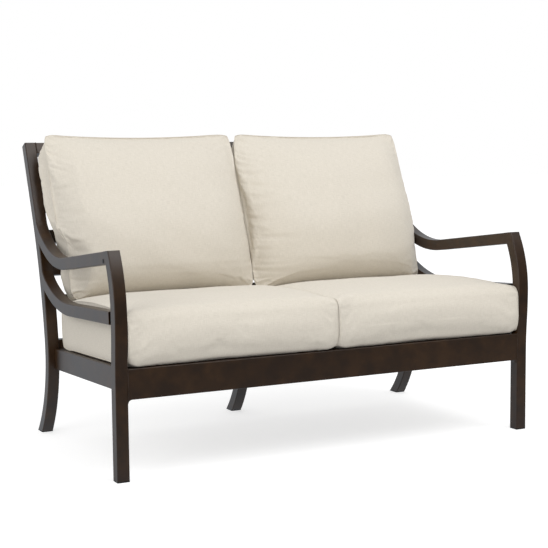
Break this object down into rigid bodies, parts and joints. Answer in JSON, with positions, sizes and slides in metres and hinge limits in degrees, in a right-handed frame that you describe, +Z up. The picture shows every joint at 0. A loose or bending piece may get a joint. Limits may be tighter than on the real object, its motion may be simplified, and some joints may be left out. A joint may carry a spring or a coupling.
{
  "type": "patio loveseat",
  "caption": "Patio loveseat: dark bronze metal tube frame with splayed curved back legs, ladder back and bowed arms, with loose cream seat and back cushions.",
  "frame": {"origin": "on the floor below the middle of the loveseat's length and depth", "axes": "+X along the seat towards its right hand end as seen from the front, +Y towards the back, +Z up"},
  "size_m": [1.3424, 0.8372, 0.9138],
  "materials": {
    "frame": "satin",
    "glide": "matte",
    "plug": "matte",
    "cover_fabric": "matte",
    "zip": "matte",
    "filling": "matte"
  },
  "bodies": {
    "frame": {"arm_hole_plugs": "plug", "back_rail": "frame", "back_slat_1": "frame", "back_slat_2": "frame", "back_slat_3": "frame", "back_slat_4": "frame", "back_slat_5": "frame", "centre_back_glide": "glide", "centre_back_leg": "frame", "centre_rail": "frame", "front_rail": "frame", "left_back_glide": "glide", "left_back_post": "frame", "left_back_post_cap": "frame", "left_front_glide": "glide", "left_front_post": "frame", "left_front_post_cap": "frame", "left_lower_arm": "frame", "left_seat_slat_1": "frame", "left_seat_slat_2": "frame", "left_seat_slat_3": "frame", "left_seat_slat_4": "frame", "left_seat_slat_5": "frame", "left_seat_slat_6": "frame", "left_side_rail": "frame", "left_upper_arm": "frame", "right_back_glide": "glide", "right_back_post": "frame", "right_back_post_cap": "frame", "right_front_glide": "glide", "right_front_post": "frame", "right_front_post_cap": "frame", "right_lower_arm": "frame", "right_seat_slat_1": "frame", "right_seat_slat_2": "frame", "right_seat_slat_3": "frame", "right_seat_slat_4": "frame", "right_seat_slat_5": "frame", "right_seat_slat_6": "frame", "right_side_rail": "frame", "right_upper_arm": "frame", "top_back_rail": "frame"},
    "left_back_cushion": {"left_back_cushion_core": "filling", "left_back_cushion_cover": "cover_fabric", "left_back_cushion_zip": "zip"},
    "left_seat_cushion": {"left_seat_cushion_core": "filling", "left_seat_cushion_cover": "cover_fabric", "left_seat_cushion_zip": "zip"},
    "right_back_cushion": {"right_back_cushion_core": "filling", "right_back_cushion_cover": "cover_fabric", "right_back_cushion_zip": "zip"},
    "right_seat_cushion": {"right_seat_cushion_core": "filling", "right_seat_cushion_cover": "cover_fabric", "right_seat_cushion_zip": "zip"}
  },
  "joints": [
    {"name": "left_seat_lift", "type": "slide", "parent": "frame", "child": "left_seat_cushion", "axis": [0, 0, 1], "range_m": [0, 0.64]},
    {"name": "right_seat_lift", "type": "slide", "parent": "frame", "child": "right_seat_cushion", "axis": [0, 0, 1], "range_m": [0, 0.64]},
    {"name": "left_back_lift", "type": "slide", "parent": "left_seat_cushion", "child": "left_back_cushion", "axis": [0, 0, 1], "range_m": [0, 0.5]},
    {"name": "right_back_lift", "type": "slide", "parent": "right_seat_cushion", "child": "right_back_cushion", "axis": [0, 0, 1], "range_m": [0, 0.5]}
  ]
}
